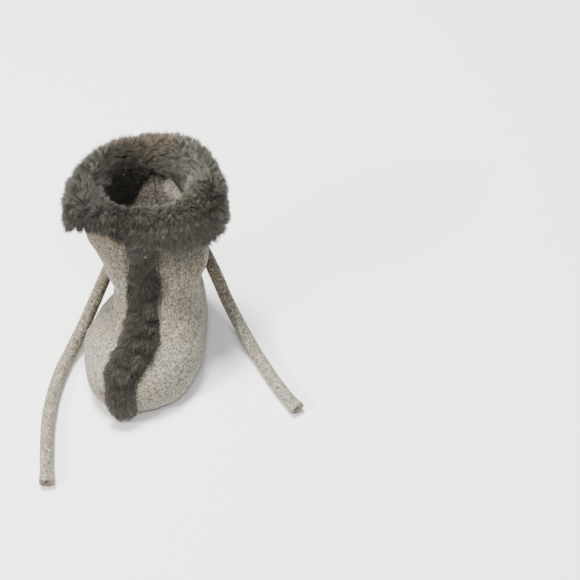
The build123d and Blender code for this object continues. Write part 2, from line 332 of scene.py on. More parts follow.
def smooth_table(places, values, at):
    """Monotone cubic through a table of values."""
    places = np.asarray(places, dtype=float)
    values = np.asarray(values, dtype=float)
    at = np.clip(at, places[0], places[-1])
    steps = np.diff(places)
    slopes = np.diff(values) / steps
    tangents = np.empty_like(values)
    tangents[0] = slopes[0]
    tangents[-1] = slopes[-1]
    for k in range(1, len(values) - 1):
        a, b = slopes[k - 1], slopes[k]
        if a * b > 0:
            harmonic = 2 * a * b / (a + b)
            limited = math.copysign(min(abs(a + b) / 2, 3 * min(abs(a), abs(b))), a)
            tangents[k] = 0.5 * harmonic + 0.5 * limited
        else:
            tangents[k] = 0.0
    k = np.clip(np.searchsorted(places, at) - 1, 0, len(steps) - 1)
    t = (at - places[k]) / steps[k]
    h = steps[k]
    return ((2 * t**3 - 3 * t**2 + 1) * values[k] + (t**3 - 2 * t**2 + t) * h * tangents[k]
            + (-2 * t**3 + 3 * t**2) * values[k + 1] + (t**3 - t**2) * h * tangents[k + 1])


def form_point(rows, z, turn):
    """Points of a form at heights z and angles turn (arrays of one shape)."""
    left, right, toe, heel, widest, lean, heel_lean, taper = (
        smooth_table(rows[:, 0], rows[:, c], z) for c in range(1, 9))
    cos, sin = np.cos(turn), np.sin(turn)
    across = np.sign(cos) * np.abs(cos) ** 0.88
    along = np.sign(sin) * np.abs(sin) ** 0.88
    centre, half = (left + right) / 2, (right - left) / 2
    x = centre + half * across * np.where(along > 0, 1 - taper * along, 1.0)
    x = x + np.where(along < 0, lean * along**2, heel_lean * along)
    y = np.where(along > 0, widest + (heel - widest) * along, widest - (toe - widest) * along)
    return np.stack([x, y, np.broadcast_to(z, x.shape)], axis=-1)


def sloped(points):
    """Points drawn in level slices, laid in slices that slope as the rim does."""
    up = np.array([-RIM_RISE_RIGHT, -RIM_RISE_BACK, 1.0])
    up /= np.linalg.norm(up)
    side = np.array([1.0, 0.0, RIM_RISE_RIGHT])
    side /= np.linalg.norm(side)
    back = np.cross(up, side)
    points = np.asarray(points)
    base = np.stack([0 * points[..., 0], 0 * points[..., 0] + RIM_Y, points[..., 2]], axis=-1)
    return base + points[..., :1] * side + (points[..., 1:2] - RIM_Y) * back


def to_rim(grid, high, top, start=68.0):
    """Stretch the upper part of a level grid so that it ends on the sloping rim."""
    rim = top + RIM_RISE_BACK * (grid[..., 1] - RIM_Y) + RIM_RISE_RIGHT * grid[..., 0]
    over = np.maximum(grid[..., 2] - start, 0)
    grid[..., 2] = np.where(over > 0, start + over * (rim - start) / (high - start), grid[..., 2])
    return grid


def turn_at(rows, heights, x, front):
    """Angle at which the outline passes x, on its front or its back side, for each height."""
    found = np.empty(len(heights))
    if front:
        table = np.linspace(math.pi + 0.02, 2 * math.pi - 0.02, 600)
    else:
        table = np.linspace(math.pi - 0.02, 0.02, 600)
    for k, (z, place) in enumerate(zip(heights, np.broadcast_to(x, len(heights)))):
        xs = form_point(rows, np.full(600, z), table)[:, 0]
        found[k] = np.interp(place, xs, table)
    return found


def normals_of(grid):
    """Unit normals of a grid of points, rows up and columns round."""
    up = np.gradient(grid, axis=0)
    round_ = np.gradient(grid, axis=1)
    n = np.cross(round_, up)
    return n / np.maximum(np.linalg.norm(n, axis=-1, keepdims=True), 1e-9)


def outward(grid, middle):
    """Normals of a grid, pointing away from a middle line."""
    n = normals_of(grid)
    away = grid - middle
    away[..., 2] = 0
    return n if np.sum(n * away) > 0 else -n


def fbm(points, size, seed, octaves=3):
    """Smooth noise over points, about -1 to 1, with features of the given size in millimetres."""
    flat = np.asarray(points).reshape(-1, 3) / size + seed * 17.3
    values = np.empty(len(flat))
    for k, p in enumerate(flat):
        total, weight, scale = 0.0, 1.0, 1.0
        for _ in range(octaves):
            total += weight * noise.noise(Vector(p * scale))
            weight *= 0.5
            scale *= 2.0
        values[k] = total
    return values.reshape(np.asarray(points).shape[:-1])


def bump_at(points, centre, radii, depth, turn_deg=0.0):
    """Soft dent or swelling: depth at its centre, fading over its radii."""
    d = np.asarray(points) - np.array(centre)
    a = math.radians(turn_deg)
    along = d[..., 0] * math.cos(a) + d[..., 2] * math.sin(a)
    over = -d[..., 0] * math.sin(a) + d[..., 2] * math.cos(a)
    r = (along / radii[0]) ** 2 + (d[..., 1] / radii[1]) ** 2 + (over / radii[2]) ** 2
    return depth * np.exp(-r)


def body_relief(points):
    """How far the soft cloth stands in or out of the plain form."""
    out = 0.9 * fbm(points, 26.0, 1, 2) + 0.35 * fbm(points, 9.0, 2, 2)
    for centre, radii, depth, turn in (
        ((-20, 12, 42), (7, 14, 3.0), -1.6, 25), ((-18, 2, 36), (9, 12, 2.2), 1.2, 30),
        ((-13, -8, 34), (6, 10, 2.0), -1.3, -40), ((-24, -18, 27), (10, 14, 4.0), 1.2, 0),
        ((12, -16, 33), (9, 9, 2.2), -1.2, 25), ((18, -6, 42), (8, 12, 3.0), -0.9, -20),
        ((24, 6, 52), (3.0, 14, 14), -1.0, 0), ((14, 0, 60), (2.6, 10, 12), 0.9, 0),
        ((28, 26, 44), (10, 12, 2.4), -1.3, 12), ((28, 26, 38), (10, 12, 2.4), 0.9, 12),
        ((0, 46, 36), (16, 8, 3.0), -1.6, 0), ((-16, 34, 47), (8, 10, 2.6), 1.0, -18),
        ((14, 42, 28), (10, 8, 2.6), 0.9, 20), ((30, -22, 12), (8, 10, 5), 0.9, 0),
        ((20, -38, 20), (9, 9, 3.0), -0.9, -30), ((-26, 30, 60), (4, 10, 10), -1.2, 0),
        ((22, 38, 60), (3, 8, 12), -1.1, 0), ((-30, 8, 56), (8, 14, 9), -2.2, 0),
        ((26, -4, 62), (3.0, 8, 8), 0.8, 0), ((-22, -2, 64), (3.0, 8, 7), -1.0, 25),
    ):
        out += bump_at(points, centre, radii, depth, turn)
    return out


def grid_faces(rows, columns, wrap=False, start=0):
    """Quads of a grid of vertices."""
    faces = []
    across = columns if wrap else columns - 1
    for r in range(rows - 1):
        for c in range(across):
            a = start + r * columns + c
            b = start + r * columns + (c + 1) % columns
            faces.append((a, b, b + columns, a + columns))
    return faces


def make_piece(name, points, faces, mat, smooth=True):
    """Mesh object from millimetre points, riding on the frame."""
    mesh = bpy.data.meshes.new(name)
    mesh.from_pydata([tuple(p) for p in world(points)], [], faces)
    mesh.validate()
    mesh.materials.append(mat)
    mesh.polygons.foreach_set("use_smooth", [smooth] * len(mesh.polygons))
    mesh.update()
    piece = bpy.data.objects.new(name, mesh)
    bpy.context.scene.collection.objects.link(piece)
    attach(piece, "root")
    return piece


def shell(name, outer, inner, mat, wrap=False):
    """Closed sheet between two grids of points of one shape."""
    rows, columns = outer.shape[:2]
    points = np.concatenate([outer.reshape(-1, 3), inner.reshape(-1, 3)])
    half = rows * columns
    faces = grid_faces(rows, columns, wrap)
    faces += [tuple(reversed(f)) for f in grid_faces(rows, columns, wrap, half)]
    across = columns if wrap else columns - 1
    for c in range(across):
        d = (c + 1) % columns
        faces.append((d, c, half + c, half + d))
        top = (rows - 1) * columns
        faces.append((top + c, top + d, half + top + d, half + top + c))
    if not wrap:
        for r in range(rows - 1):
            a, b = r * columns, (r + 1) * columns
            faces.append((a, b, half + b, half + a))
            a, b = a + columns - 1, b + columns - 1
            faces.append((b, a, half + a, half + b))
    return make_piece(name, points, faces, mat)


# Heights of the rows, spaced by the length of the front profile.
def row_heights(low, high, count):
    z = np.linspace(low, high, 800)
    front = form_point(FORM, z, np.full(800, 1.5 * math.pi))
    steps = np.linalg.norm(np.diff(front, axis=0), axis=1) + np.diff(z) * 0.6
    length = np.concatenate([[0], np.cumsum(steps)])
    return np.interp(np.linspace(0, length[-1], count), length, z)


def wall_grid(side, low, high, rows, columns, edge_gap):
    """Grid over one half of the bootie, from the strip's edge round to the back seam."""
    z = row_heights(low, high, rows)
    edge = STRIP_LEFT if side < 0 else STRIP_RIGHT
    start = turn_at(FORM, z, smooth_table(edge[:, 1], edge[:, 0], z) + side * edge_gap, True)
    end = turn_at(FORM, z, np.full(rows, BACK_SEAM_X + side * 0.12), False)
    if side > 0:
        end = end + 2 * math.pi
    share = np.linspace(0, 1, columns)
    share = share + 0.06 * np.sin(2 * math.pi * share) * -1
    turn = start[:, None] + (end - start)[:, None] * share[None, :]
    return to_rim(form_point(FORM, np.repeat(z[:, None], columns, axis=1), turn), high, high)


def build_upper(side):
    grid = wall_grid(side, UPPER_LOW, UPPER_TOP, 190, 150, SEAM_GAP)
    middle = np.array([2.0, 10.0, 0.0])
    n = outward(grid, middle)
    relief = body_relief(grid)
    # Seams: the cloth rolls in at the strip, at the back and at the sole, with small puckers.
    run = np.cumsum(np.linalg.norm(np.diff(grid, axis=1, prepend=grid[:, :1]), axis=-1), axis=1)
    back = run[:, -1:] - run
    up = np.cumsum(np.linalg.norm(np.diff(grid, axis=0, prepend=grid[:1]), axis=-1), axis=0)
    pucker = 0.5 + 0.5 * np.sin(up[:, :1] * 2 * math.pi / 4.2 + 1.5 * fbm(grid[:, :1], 12.0, 5, 1))
    relief -= 1.0 * np.exp(-(run / 0.9) ** 2) - 0.35 * np.exp(-((run - 2.4) / 1.4) ** 2) * pucker
    relief -= 0.9 * np.exp(-(back / 0.9) ** 2) - 0.30 * np.exp(-((back - 2.2) / 1.3) ** 2) * pucker
    round_pucker = 0.5 + 0.5 * np.sin(run * 2 * math.pi / 4.6 + 2.0 * fbm(grid, 14.0, 6, 1))
    relief -= 0.8 * np.exp(-((up) / 1.0) ** 2) - 0.45 * np.exp(-((up - 2.6) / 1.7) ** 2) * round_pucker
    outer = grid + n * relief[..., None]
    inner = outer - n * CLOTH_THICK
    name = "upper_left_cloth" if side < 0 else "upper_right_cloth"
    piece = shell(name, outer, inner, SUEDE)
    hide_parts("upper_left" if side < 0 else "upper_right")
    return piece


def build_lining(side):
    z = row_heights(LINING_LOW, LINING_TOP, 110)
    end = turn_at(FORM, z, np.full(110, BACK_SEAM_X + side * 0.1), False)
    start = turn_at(FORM, z, np.full(110, -1.5 + side * 0.1), True)
    if side > 0:
        end = end + 2 * math.pi
    share = np.linspace(0, 1, 110)
    turn = start[:, None] + (end - start)[:, None] * share[None, :]
    grid = form_point(FORM, np.repeat(z[:, None], 110, axis=1), turn)
    grid = to_rim(grid, LINING_TOP, LINING_TOP)
    n = outward(grid, np.array([2.0, 10.0, 0.0]))
    run = np.cumsum(np.linalg.norm(np.diff(grid, axis=1, prepend=grid[:, :1]), axis=-1), axis=1)
    back = run[:, -1:] - run
    sag = 0.9 * fbm(grid, 12.0, 8, 3) - 1.5 * bump_at(grid, (6.5, 41, 78), (2.0, 9, 9), 1.0, 4)
    inner_face = grid - n * (3.0 + np.clip(sag, -0.6, 0.9))[..., None]
    inner_face += n * (0.9 * np.exp(-(back / 0.8) ** 2) + 0.5 * np.exp(-(run / 0.8) ** 2))[..., None]
    outer_face = grid - n * 1.8
    name = "lining_left_cloth" if side < 0 else "lining_right_cloth"
    piece = shell(name, outer_face, inner_face, LINING)
    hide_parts("lining_left" if side < 0 else "lining_right")
    return piece


build_upper(-1)
build_upper(1)
build_lining(-1)
build_lining(1)


# ---------------------------------------------------------------- sole
def plate(name, low, high, drop, mat, crown=0.0, rings=26, columns=200, seed=3):
    """Soft sheet that fills the form between two heights, its edge rounded."""
    turn = np.linspace(0, 2 * math.pi, columns, endpoint=False)
    rim = form_point(FORM, np.full(columns, (low + high) / 2), turn)
    centre = np.array([0.0, 0.0, 0.0])
    flat = rim * np.array([1, 1, 0])
    length = np.linalg.norm(flat - centre, axis=1, keepdims=True)
    edge = centre + (flat - centre) * (length - drop) / length
    points, thick = [], high - low
    for r in range(1, rings + 1):
        share = (r / rings) ** 0.75
        level = edge * share
        lift = crown * (1 - share**2)
        soft = np.minimum(1.0, (1 - share) * 14) ** 0.5
        height = low + thick * (0.5 + 0.5 * soft) + lift
        p = level.copy()
        p[:, 2] = height
        p[:, 2] += 0.25 * fbm(p, 9.0, seed, 2) * (1 if crown else 0)
        points.append(p)
    for r in range(rings, 0, -1):
        share = (r / rings) ** 0.75
        p = edge * share
        soft = np.minimum(1.0, (1 - share) * 14) ** 0.5
        p[:, 2] = low + thick * (0.5 - 0.5 * soft)
        points.append(p)
    grid = np.concatenate(points)
    total = 2 * rings
    faces = grid_faces(total, columns, True)
    faces.append(tuple(range(columns - 1, -1, -1)))
    faces.append(tuple((total - 1) * columns + c for c in range(columns)))
    return make_piece(name, grid, faces, mat)


outsole = plate("outsole_cloth", 0.0, 1.6, -0.1, SUEDE)
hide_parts("outsole")
insole = plate("insole_cloth", 4.9, 6.0, 2.6, LINING, crown=0.3)
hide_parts("insole")
frame["nodes"]["sole_padding"].data.materials.clear()
frame["nodes"]["sole_padding"].data.materials.append(FOAM)
for name in ("sole_seam_thread", "back_seam_thread", "strip_seam_threads", "cuff_seam_thread",
             "tie_tacks"):
    frame["nodes"][name].data.materials.clear()
    frame["nodes"][name].data.materials.append(THREAD)


# ---------------------------------------------------------------- ties
TIE_RADIUS = 3.6
TIE_LEFT = [
    (0.5, 50.6, 38.5), (-16.2, 42.4, 37.0), (-24.3, 25.6, 31.5), (-32.8, 12.2, 16.4),
    (-41.4, -3.0, 4.6), (-48.5, -27.0, 3.7), (-50.4, -61.5, 3.7), (-45.2, -95.0, 3.7),
]
TIE_RIGHT = [
    (5.5, 51.4, 38.5), (23.5, 43.4, 37.0), (32.0, 26.0, 32.5), (40.5, 12.5, 17.0),
    (52.5, -5.5, 4.6), (63.0, -26.0, 3.7), (71.0, -40.5, 3.7), (77.0, -48.2, 3.7),
]


def route_line(route, name):
    """Points along the smooth line of a route, in millimetres."""
    curve = bpy.data.curves.new(name, "CURVE")
    curve.dimensions = "3D"
    spline = curve.splines.new("NURBS")
    spline.points.add(len(route) - 1)
    for point, place in zip(spline.points, route):
        point.co = (*place, 1.0)
    spline.order_u = 3
    spline.use_endpoint_u = True
    spline.resolution_u = 30
    holder = bpy.data.objects.new(name, curve)
    bpy.context.scene.collection.objects.link(holder)
    mesh = bpy.data.meshes.new_from_object(holder)
    line = np.array([v.co[:] for v in mesh.vertices])
    bpy.data.objects.remove(holder)
    bpy.data.curves.remove(curve)
    bpy.data.meshes.remove(mesh)
    return line


def build_tie(name, cad_node, route, seed):
    """Rolled suede tube: a lengthwise seam, slack dents, and a flattened, tucked-in free end."""
    line = route_line(route, name + "_line")
    steps = np.concatenate([[0], np.cumsum(np.linalg.norm(np.diff(line, axis=0), axis=1))])
    length = steps[-1]
    rows = int(length / 0.55)
    at = np.linspace(0, length, rows)
    centre = np.stack([np.interp(at, steps, line[:, k]) for k in range(3)], axis=1)
    tangent = np.gradient(centre, axis=0)
    tangent /= np.linalg.norm(tangent, axis=1, keepdims=True)
    side = np.cross(tangent, np.array([0, 0, 1.0]))
    side /= np.linalg.norm(side, axis=1, keepdims=True)
    up = np.cross(side, tangent)
    columns = 40
    angle = np.linspace(0, 2 * math.pi, columns, endpoint=False)
    from_end = length - at
    flat_end = np.exp(-(from_end / 4.5) ** 2)
    flat_root = np.exp(-(at / 3.5) ** 2)
    wide = 1 + 0.14 * flat_end + 0.25 * flat_root
    tall = 1 - 0.16 * flat_end - 0.30 * flat_root
    seam = 0.9 * math.pi + 0.012 * at + 0.5 * np.sin(at / 31.0 + seed)
    ring = (np.cos(angle)[None, :, None] * side[:, None, :] * wide[:, None, None]
            + np.sin(angle)[None, :, None] * up[:, None, :] * tall[:, None, None])
    base = centre[:, None, :] + ring * TIE_RADIUS
    gap = (angle[None, :] - seam[:, None] + math.pi) % (2 * math.pi) - math.pi
    slack, lumps = fbm(base, 11.0, seed, 2), fbm(base, 3.2, seed + 3, 1)
    radius = TIE_RADIUS * (0.965 + 0.030 * slack + 0.016 * lumps)
    radius -= 0.26 * np.exp(-(gap / 0.14) ** 2)
    radius += 0.07 * np.exp(-((gap - 0.42) / 0.25) ** 2)
    grid = centre[:, None, :] + ring * radius[..., None]
    grid[..., 2] = np.maximum(grid[..., 2], 0.06)
    points = [grid.reshape(-1, 3)]
    for shrink, back in ((0.93, -0.45), (0.78, -0.55), (0.60, -0.2), (0.42, 0.7), (0.20, 1.3)):
        level = centre[-1] + (grid[-1] - centre[-1]) * shrink - tangent[-1] * back
        points.append(level)
    cap = 5
    total = rows + cap
    points = np.concatenate(points)
    faces = grid_faces(total, columns, True)
    faces.append(tuple(range(columns - 1, -1, -1)))
    faces.append(tuple((total - 1) * columns + c for c in range(columns)))
    piece = make_piece(name, points, faces, SUEDE_TIE)
    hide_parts(cad_node)
    return piece


build_tie("tie_left_roll", "tie_left", TIE_LEFT, 21)
build_tie("tie_right_roll", "tie_right", TIE_RIGHT, 34)


# ---------------------------------------------------------------- fur
HAIRS_PER_PIECE = 11500
HAIR_WIDTH = 0.11
TUFT_DENSITY = 5.0
WARM_BOUNCE_TONE = len(PILE_TONES) - 1
rng = np.random.default_rng(7)


def unit(v):
    return v / np.maximum(np.linalg.norm(v, axis=-1, keepdims=True), 1e-9)


def swirl(points, size, seed):
    """Slowly turning direction noise, cheap enough for every hair."""
    p = points / size
    a = np.sin(p[:, 0] * 1.3 + p[:, 1] * 2.1 + seed) + np.sin(p[:, 2] * 1.9 - p[:, 0] * 1.1 + seed * 2.3)
    b = (np.sin(p[:, 1] * 1.7 - p[:, 2] * 1.2 + seed * 0.7)
         + np.sin(p[:, 0] * 2.3 + p[:, 2] * 0.8 + seed * 1.9))
    c = np.sin(p[:, 2] * 2.2 + p[:, 1] * 0.9 + seed * 3.1) + np.sin(p[:, 1] * 1.3 + p[:, 0] * 0.7 - seed)
    return np.stack([a, b, c], axis=1) * 0.5


def nearest(points, centres):
    tree = KDTree(len(centres))
    for k, c in enumerate(centres):
        tree.insert(Vector(c), k)
    tree.balance()
    return np.array([tree.find(Vector(p))[1] for p in points])


def hair(name, roots, ups, flows, lengths, lift, clump_size, tone, seed, warm_tint_and_bounce):
    """Pile as closed three-sided hairs that curve from the skin and gather into tufts."""
    rng = np.random.default_rng(seed)
    count = len(roots)
    flows = unit(flows - ups * np.sum(flows * ups, axis=1, keepdims=True))
    tips = roots + lengths[:, None] * (np.sin(lift)[:, None] * ups + np.cos(lift)[:, None] * flows)
    shade = 0.0
    # Tufts: each hair leans towards the tip of its tuft, and of a smaller strand within it.
    for size, pull in ((clump_size, 0.30), (clump_size * 0.30, 0.58)):
        chosen = rng.choice(count, max(4, int(count / (size * size * TUFT_DENSITY))), replace=False)
        owner = nearest(roots, roots[chosen])
        stray = swirl(roots[chosen], 5.0, seed) * 0.8
        stray = stray + rng.normal(0, 0.42, (len(chosen), 3)) * size / 3.5
        tuft = tips[chosen] + stray
        offset = roots - roots[chosen][owner]
        tips = tips * (1 - pull) + (tuft[owner] + offset * 0.12) * pull
        shade = shade + rng.normal(0, 0.40 if size == clump_size else 0.75, len(chosen))[owner]
    tips += rng.normal(0, 0.20, (count, 3))
    reach = np.linalg.norm(tips - roots, axis=1, keepdims=True)
    tips = roots + (tips - roots) * np.minimum(1.0, lengths[:, None] * 1.05 / np.maximum(reach, 0.1))
    sink = np.sum((tips - roots) * ups, axis=1)
    tips += ups * np.maximum(0.35 - sink, 0)[:, None]
    knee = roots + 0.5 * lengths[:, None] * (0.75 * ups + 0.25 * flows) + rng.normal(0, 0.2, (count, 3))
    stations = np.array([0.0, 0.38, 0.72])
    tips[:, 2] = np.maximum(tips[:, 2], 0.15)
    knee[:, 2] = np.maximum(knee[:, 2], 0.3)
    base = roots - ups * 0.35
    centres = [(1 - t) ** 2 * base + 2 * t * (1 - t) * knee + t * t * tips for t in stations]
    tangent = unit(tips - base)
    a = unit(np.cross(tangent, ups + rng.normal(0, 0.3, (count, 3))))
    b = np.cross(tangent, a)
    spin = rng.uniform(0, 2 * math.pi, count)
    verts = np.empty((count, 10, 3))
    for k, (c, thick) in enumerate(zip(centres, (1.0, 0.92, 0.62))):
        for j in range(3):
            angle = spin + j * 2 * math.pi / 3
            spoke = np.cos(angle)[:, None] * a + np.sin(angle)[:, None] * b
            verts[:, k * 3 + j] = c + HAIR_WIDTH * thick * spoke
    verts[:, 9] = tips
    verts[..., 2] = np.maximum(verts[..., 2], 0.05)
    quads = [(0, 1, 4, 3), (1, 2, 5, 4), (2, 0, 3, 5), (3, 4, 7, 6), (4, 5, 8, 7), (5, 3, 6, 8)]
    tris = [(2, 1, 0), (6, 7, 9), (7, 8, 9), (8, 6, 9)]
    pattern = np.array([v for f in quads + tris for v in f])
    sizes = np.array([4] * 6 + [3] * 4)
    ring_of = np.array([0, 0, 0, 1, 1, 1, 0, 2, 2, 2])
    level = tone + shade + rng.normal(0, 0.35, count)
    for number, first in enumerate(range(0, count, HAIRS_PER_PIECE), 1):
        part = slice(first, min(count, first + HAIRS_PER_PIECE))
        n = part.stop - part.start
        mesh = bpy.data.meshes.new(f"{name}_{number}")
        mesh.vertices.add(n * 10)
        mesh.vertices.foreach_set("co", world(verts[part].reshape(-1, 3)).ravel())
        loops = (pattern[None, :] + (np.arange(n) * 10)[:, None]).ravel()
        mesh.loops.add(len(loops))
        mesh.loops.foreach_set("vertex_index", loops)
        counts = np.tile(sizes, n)
        mesh.polygons.add(len(counts))
        mesh.polygons.foreach_set("loop_start", np.concatenate([[0], np.cumsum(counts)[:-1]]))
        mesh.polygons.foreach_set("loop_total", counts)
        # Painted shade: each hair's colour steps darker towards its root, deep in the pile.
        index = np.rint(level[part][:, None] + (ring_of - 1.6)[None, :] * 0.95)
        index = np.clip(index, 0, WARM_BOUNCE_TONE - 1).astype(int)
        index = np.where(warm_tint_and_bounce[part][:, None] & (ring_of[None, :] > 0), WARM_BOUNCE_TONE, index)
        mesh.polygons.foreach_set("material_index", index.ravel())
        mesh.polygons.foreach_set("use_smooth", np.ones(len(counts), bool))
        for mat in PILE_TONES:
            mesh.materials.append(mat)
        mesh.update()
        piece = bpy.data.objects.new(mesh.name, mesh)
        bpy.context.scene.collection.objects.link(piece)
        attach(piece, "root")
    return tips


def notch_height(x):
    """Height of the inner leg's lower edge at the back, where the lining shows."""
    return np.interp(x, [-9.0, -5.5, -1.0, 3.5, 6.5, 10.0, 14.0, 17.5, 20.0],
                     [67.0, 72.0, 82.0, 86.6, 87.4, 86.4, 82.0, 73.0, 67.0])


# Cross-section of the cuff's skin: out of the pile, up the outer leg, over, down the inner leg.
COLUMNS = 240
OUTER_ROWS, CREST_ROWS, INNER_ROWS = 28, 16, 24
SKIN_OUT, SKIN_IN = 4.0, 2.6
SKIN_TOP, CREST_RISE = 90.6, 5.4


def cuff_skin():
    turn = np.linspace(0, 2 * math.pi, COLUMNS, endpoint=False)
    wave = 0.9 * np.sin(turn * 5 + 1.0) + 0.7 * np.sin(turn * 9 + 2.0)
    rough = form_point(CUFF, np.full(COLUMNS, 71.0), turn)
    low_out = smooth_table(CUFF_EDGE[:, 0], CUFF_EDGE[:, 1], rough[:, 0]) * 1.024 + 3.4 + 0.5 * wave
    outer = []
    for r in range(OUTER_ROWS):
        z = low_out + (SKIN_TOP - low_out) * r / (OUTER_ROWS - 1)
        outer.append(form_point(CUFF, z, turn))
    outer = np.stack(outer)
    n = outward(outer, np.array([0.0, 23.0, 0.0]))
    n[..., 2] = 0
    fuller = 1.5 * np.clip(np.sin(turn - 0.25), 0, 1) ** 2
    outer = outer - unit(n) * (SKIN_OUT - fuller[None, :, None])
    inner_edge = form_point(MOUTH, np.full(COLUMNS, 73.0), turn)
    back = inner_edge[:, 1] > 24
    low_in = np.where(back, np.maximum(67.0, notch_height(inner_edge[:, 0])), 67.0)
    inner = []
    for r in range(INNER_ROWS):
        z = SKIN_TOP + (low_in - SKIN_TOP) * r / (INNER_ROWS - 1)
        inner.append(form_point(MOUTH, z, turn))
    inner = np.stack(inner)
    m = outward(inner, np.array([0.6, 22.0, 0.0]))
    m[..., 2] = 0
    inner = inner + unit(m) * SKIN_IN
    back_right = np.exp(-((turn - 0.75) / 0.45) ** 2)
    rise = 2.4 * np.clip(np.sin(turn), 0, 1) - 3.2 * np.clip(-np.sin(turn), 0, 1) + 2.6 * back_right
    crest = []
    for r in range(1, CREST_ROWS + 1):
        a = math.pi * r / (CREST_ROWS + 1)
        share = 0.5 - 0.5 * math.cos(a)
        p = outer[-1] * (1 - share) + inner[0] * share
        p[:, 2] = SKIN_TOP + (CREST_RISE + rise) * math.sin(a)
        crest.append(p)
    face = sloped(np.concatenate([outer, np.stack(crest), inner]))
    face += 0.55 * fbm(face, 11.0, 12, 2)[..., None] * normals_of(face)
    return face


skin_face = cuff_skin()
skin_normals = normals_of(skin_face)
ring_middle = np.array([0.0, 23.0, 83.0])
if np.sum(skin_normals[5] * (skin_face[5] - ring_middle)) < 0:
    skin_normals = -skin_normals
skin_back = skin_face - skin_normals * 0.9
cuff_piece = shell("cuff_skin", skin_face, skin_back, FUR_SKIN, wrap=True)
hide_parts("fur_cuff")


def scatter(grid, normals, count, seed, weight=None, wrap=False):
    """Random places on a grid surface, with the row and column they fall at."""
    rng = np.random.default_rng(seed)
    g = np.concatenate([grid, grid[:, :1]], axis=1) if wrap else grid
    nn = np.concatenate([normals, normals[:, :1]], axis=1) if wrap else normals
    a, b, c = g[:-1, :-1], g[1:, :-1], g[:-1, 1:]
    area = np.linalg.norm(np.cross(b - a, c - a), axis=-1)
    if weight is not None:
        area = area * weight
    chance = area.ravel() / area.sum()
    cell = rng.choice(len(chance), count, p=chance)
    r, k = np.divmod(cell, g.shape[1] - 1)
    u, v = rng.random(count)[:, None], rng.random(count)[:, None]

    def blend(field):
        return (field[r, k] * (1 - u) * (1 - v) + field[r + 1, k] * u * (1 - v)
                + field[r, k + 1] * (1 - u) * v + field[r + 1, k + 1] * u * v)
    return blend(g), unit(blend(nn)), r + u[:, 0], k + v[:, 0]


def cuff_pile():
    rows = skin_face.shape[0]
    count = 112000
    roots, ups, row, column = scatter(skin_face, skin_normals, count, 11, wrap=True)
    order = np.argsort(column)
    roots, ups, row, column = roots[order], ups[order], row[order], column[order]
    down = np.array([0, 0, -1.0])
    radial = unit((roots - ring_middle) * np.array([1, 1, 0]))
    tangent = np.stack([-radial[:, 1], radial[:, 0], np.zeros(count)], axis=1)
    outer = row < OUTER_ROWS - 1
    crest = (row >= OUTER_ROWS - 1) & (row < OUTER_ROWS + CREST_ROWS)
    flow = np.where(outer[:, None], down + radial * 0.2, 0)
    drift = swirl(roots, 13.0, 6.0)
    crest_flow = radial * (0.8 - 1.3 * (row[:, None] - OUTER_ROWS) / CREST_ROWS)
    crest_flow = crest_flow + tangent * drift[:, :1] * 1.2
    flow = np.where(crest[:, None], crest_flow, flow)
    flow = np.where((~outer & ~crest)[:, None], -down * 0.4 - radial * 0.6, flow)
    flow = flow + swirl(roots, 9.5, 3.0) * 0.8 + tangent * 0.15
    lift = np.where(outer, 0.86, np.where(crest, 0.88, 0.92)) + rng.normal(0, 0.13, count)
    front = np.clip((24.0 - roots[:, 1]) / 18.0, 0, 1)
    lengths = np.where(outer, 8.6, np.where(crest, 7.6 - 1.4 * front, 7.0))
    lengths = lengths * rng.uniform(0.70, 1.08, count)
    fade = np.clip(row / 5.0, 0, 1)
    lift = lift - (1 - fade) * 0.1
    lengths = np.where(~outer & ~crest, lengths * np.clip((rows - row) / 7.0, 0.55, 1.0), lengths)
    # Painted reflection: a share of the hairs on the back of the crest take the warm brown tone,
    # standing in for warm light bounced onto the cuff's top edge; a few hairs anywhere take it too.
    top_back = crest & (roots[:, 1] > 38)
    warm_tint_and_bounce = (top_back & (rng.random(count) < 0.38)) | (rng.random(count) < 0.02)
    # Painted light and shade: the pile's colour is darker on the left side of the cuff, where the key
    # lamp falls, and lighter on its right.
    tone = 2.7 + 0.22 * np.sin(roots[:, 0] / 9.0 + roots[:, 2] / 7.0)
    tone = tone + 1.2 * np.clip(roots[:, 0] / 30.0, -1, 1)
    tone = np.where(crest & (roots[:, 1] < 20), tone + 0.35, tone)
    # Painted shade: the pile on the inner leg, inside the mouth, is coloured darker.
    tone = np.where(~outer & ~crest, tone - 0.5, tone)
    return hair("cuff_pile", roots, ups, flow, lengths, lift, 4.2, tone, 5, warm_tint_and_bounce)


def strip_frames():
    """The strip's skin as a grid from the cuff's underside down to the toe."""
    z = row_heights(1.9, 84.0, 160)[::-1]
    left = turn_at(FORM, z, smooth_table(STRIP_LEFT[:, 1], STRIP_LEFT[:, 0], z) + 0.5, True)
    right = turn_at(FORM, z, smooth_table(STRIP_RIGHT[:, 1], STRIP_RIGHT[:, 0], z) - 0.5, True)
    share = np.linspace(0, 1, 30)
    turn = left[:, None] + (right - left)[:, None] * share[None, :]
    grid = form_point(FORM, np.repeat(z[:, None], 30, axis=1), turn)
    n = normals_of(grid)
    if np.sum(n * (grid - np.array([0, 20.0, 20.0]))) < 0:
        n = -n
    edge = np.minimum(share, 1 - share)
    lift = 0.9 * np.clip(edge / 0.12, 0, 1) ** 0.5 + 0.2
    grid = grid + n * lift[None, :, None]
    return grid, n


strip_face, strip_normals = strip_frames()
strip_piece = shell("strip_skin", strip_face, strip_face - strip_normals * 1.4, FUR_SKIN)
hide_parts("fur_strip")


